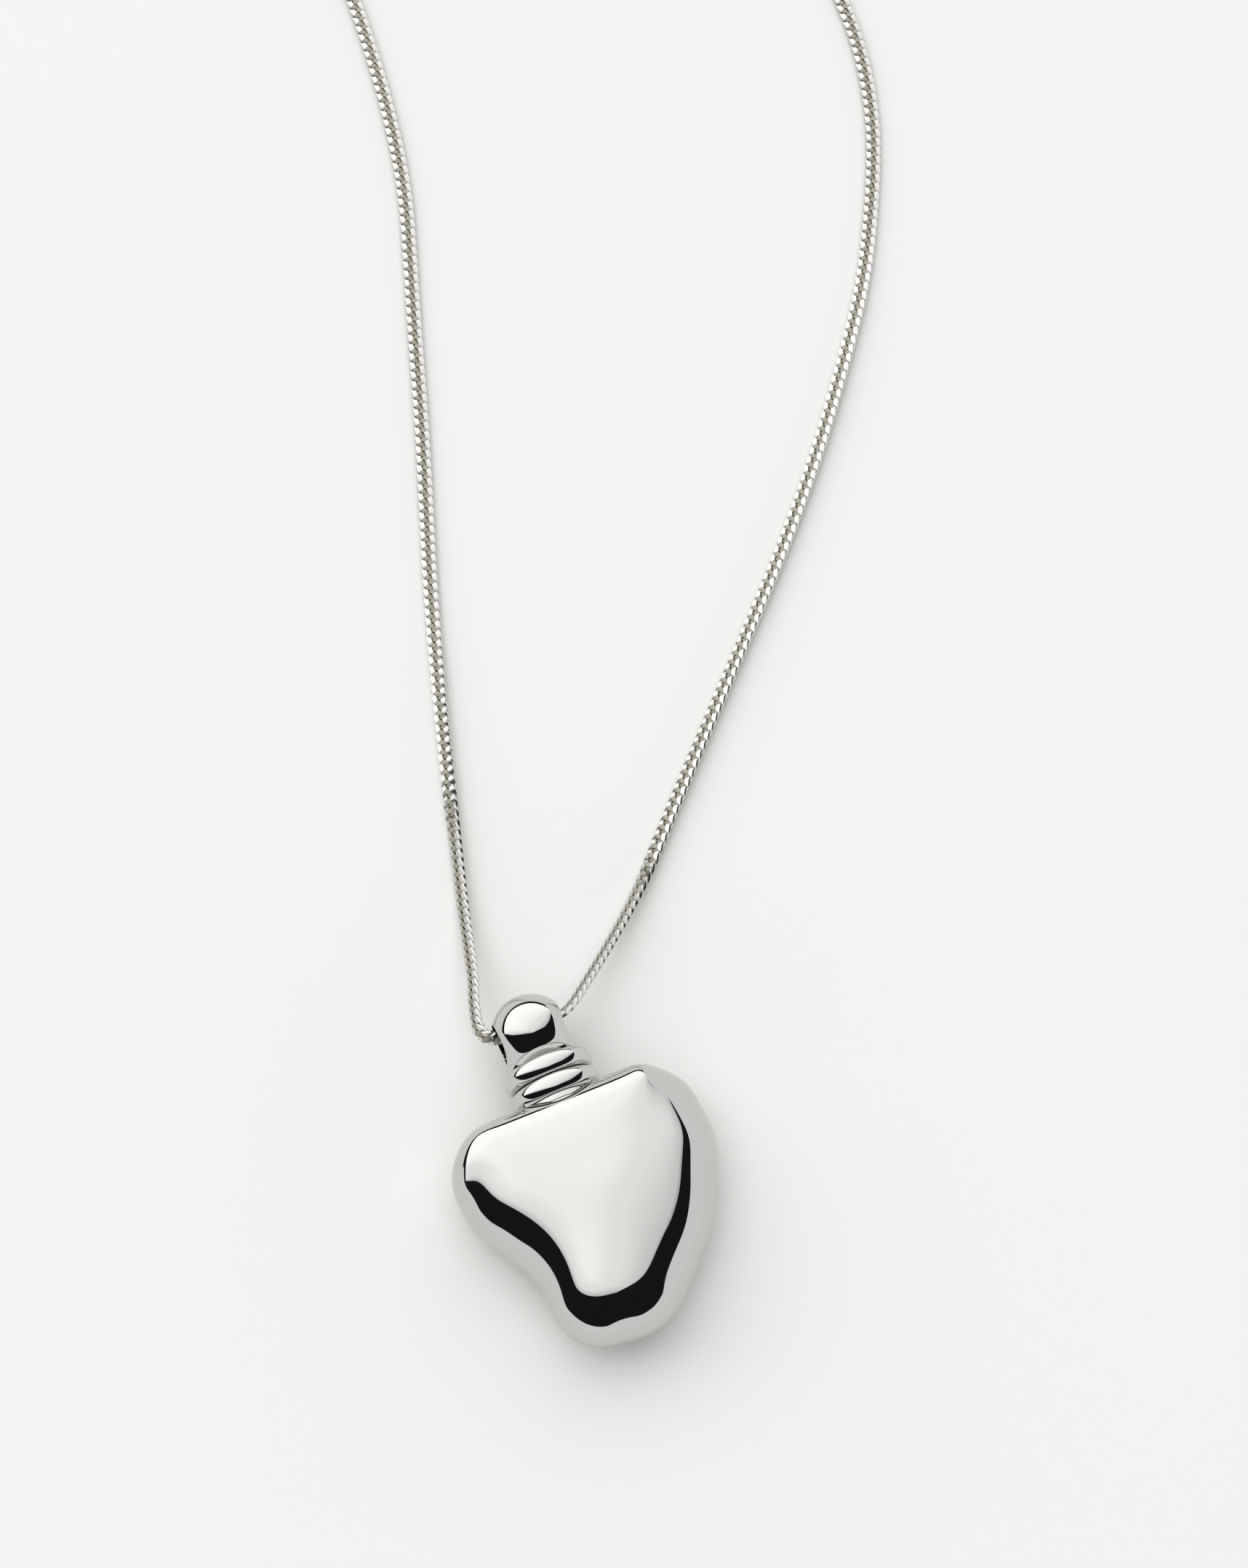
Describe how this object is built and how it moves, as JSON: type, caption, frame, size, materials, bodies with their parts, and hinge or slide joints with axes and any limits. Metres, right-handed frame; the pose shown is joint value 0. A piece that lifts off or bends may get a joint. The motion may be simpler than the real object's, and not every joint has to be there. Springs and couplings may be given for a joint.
{
  "type": "flask pendant necklace",
  "caption": "Smooth pebble-shaped flask pendant with a domed screw stopper that threads onto a fine curb chain with a lobster clasp and an extender.",
  "frame": {"origin": "on the surface that the pendant lies on, under the middle of the pendant's box, the chain and clasp left out", "axes": "+Y along the stopper's axis towards the dome, +Z out of the pendant's front face, +X to the right seen from the front"},
  "size_m": [0.0891, 0.2091, 0.0084],
  "materials": {
    "polished_silver": "mirror polished",
    "chain_silver": "polished and filed flat",
    "findings_silver": "polished",
    "spring_steel": "drawn wire",
    "seal_rubber": "matt"
  },
  "bodies": {
    "chain": {"chain_left": "chain_silver", "chain_right": "chain_silver", "end_ring_left": "findings_silver", "end_ring_right": "findings_silver", "clasp_ring": "findings_silver"},
    "stopper": {"stopper_dome": "polished_silver", "stopper_bead": "polished_silver", "stopper_stud": "polished_silver"},
    "seal": {"seal_washer": "seal_rubber"},
    "flask": {"flask_front": "polished_silver", "flask_back": "polished_silver", "neck_sleeve": "polished_silver", "neck_seat": "polished_silver", "neck_bead": "polished_silver"},
    "clasp": {"clasp_body": "findings_silver", "clasp_pin": "spring_steel", "clasp_spring": "spring_steel"},
    "lever": {"clasp_lever": "findings_silver"},
    "tail": {"extender_first_link": "findings_silver", "extender_links": "findings_silver", "tag_ring": "findings_silver"},
    "tag": {"tag": "findings_silver"}
  },
  "joints": [
    {"name": "bail_swing", "type": "hinge", "parent": "chain", "child": "stopper", "pos_m": [0.00019, 0.0136, 0.0042], "axis": [1, 0, 0], "range_deg": [-120, 90]},
    {"name": "stopper_turn", "type": "hinge", "parent": "stopper", "child": "seal", "pos_m": [0.00019, 0.0078, 0.0042], "axis": [0, -1, 0], "range_deg": [0, 1800]},
    {"name": "flask_travel", "type": "slide", "parent": "seal", "child": "flask", "axis": [0, -1, 0], "range_m": [0, 0.004]},
    {"name": "clasp_swivel", "type": "hinge", "parent": "chain", "child": "clasp", "pos_m": [0.0361, 0.1905, 0.0018], "axis": [0, 0, 1], "range_deg": [-2, 2]},
    {"name": "lever_press", "type": "hinge", "parent": "clasp", "child": "lever", "pos_m": [0.0387, 0.18885, 0.0018], "axis": [0, 0, 1], "range_deg": [0, 18], "stiffness_Nm_per_rad": 0.0002, "springref_deg": -17.19},
    {"name": "tail_swing", "type": "hinge", "parent": "chain", "child": "tail", "pos_m": [0.04635, 0.18988, 0.0018], "axis": [0, 0, 1], "range_deg": [-20, 10]},
    {"name": "tag_swing", "type": "hinge", "parent": "tail", "child": "tag", "pos_m": [0.04419, 0.14963, 0.00141], "axis": [0, 0, 1], "range_deg": [-15, 15]}
  ],
  "couplings": [
    {"joint": "flask_travel", "follows": "stopper_turn", "m_per_rad": 0.00012732}
  ]
}
